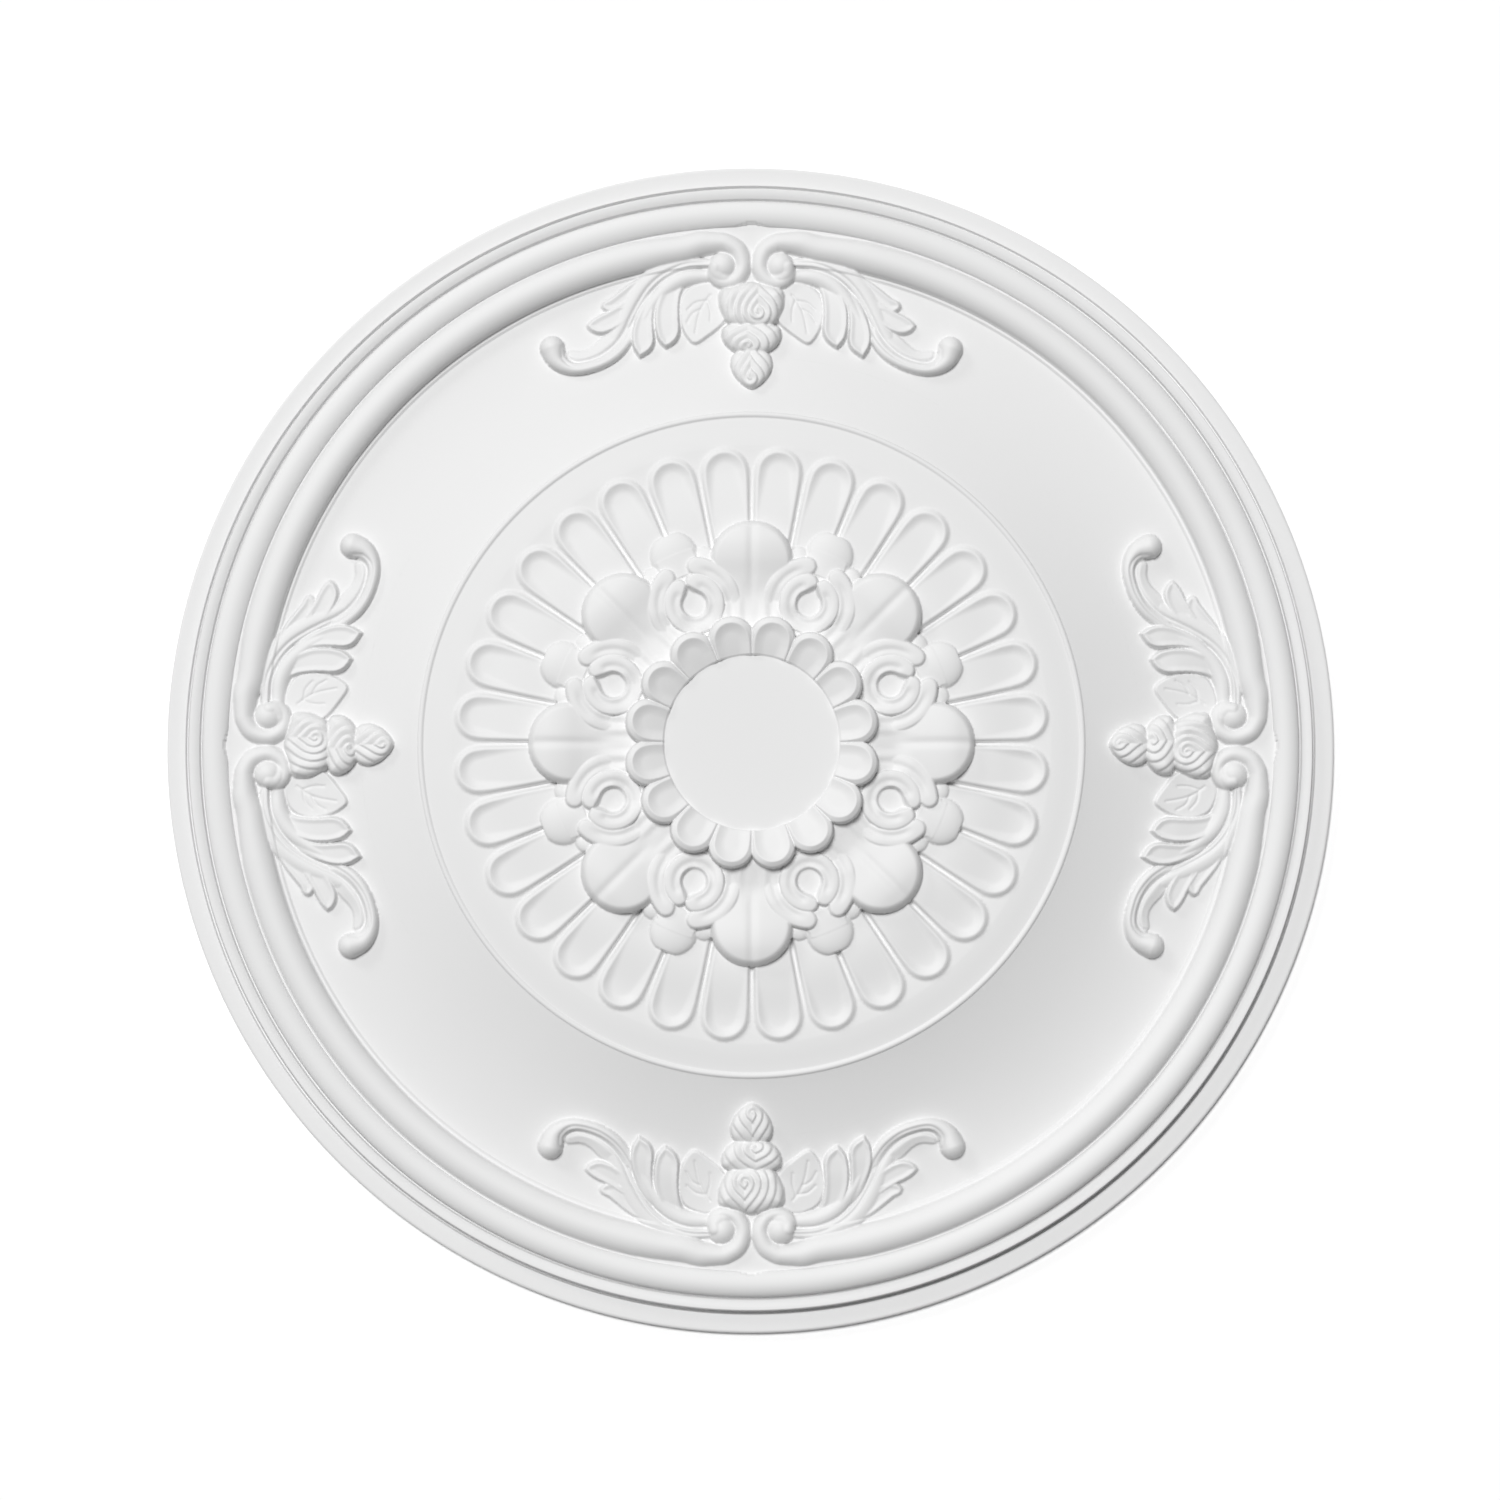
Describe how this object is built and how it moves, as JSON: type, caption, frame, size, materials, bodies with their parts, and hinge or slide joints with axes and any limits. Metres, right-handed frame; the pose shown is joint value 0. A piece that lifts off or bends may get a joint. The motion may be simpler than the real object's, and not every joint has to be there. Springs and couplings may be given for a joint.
{
  "type": "ceiling rose",
  "caption": "Round domed ceiling rose with moulded rim, scrolled leaf sprays, petal ring, acanthus ring and a lobed collar round a flat seat.",
  "frame": {"origin": "middle of the flat back, where it meets the ceiling", "axes": "+Z out of the carved face, away from the ceiling, +Y towards one of the four sprays; the rose is turned over, with +Z pointing down, when it is fixed under a ceiling"},
  "size_m": [0.77, 0.77, 0.0613],
  "materials": {
    "foam": "rigid polyurethane foam with a matt white factory primer"
  },
  "bodies": {
    "root": {"ceiling_rose": "foam"}
  },
  "joints": []
}
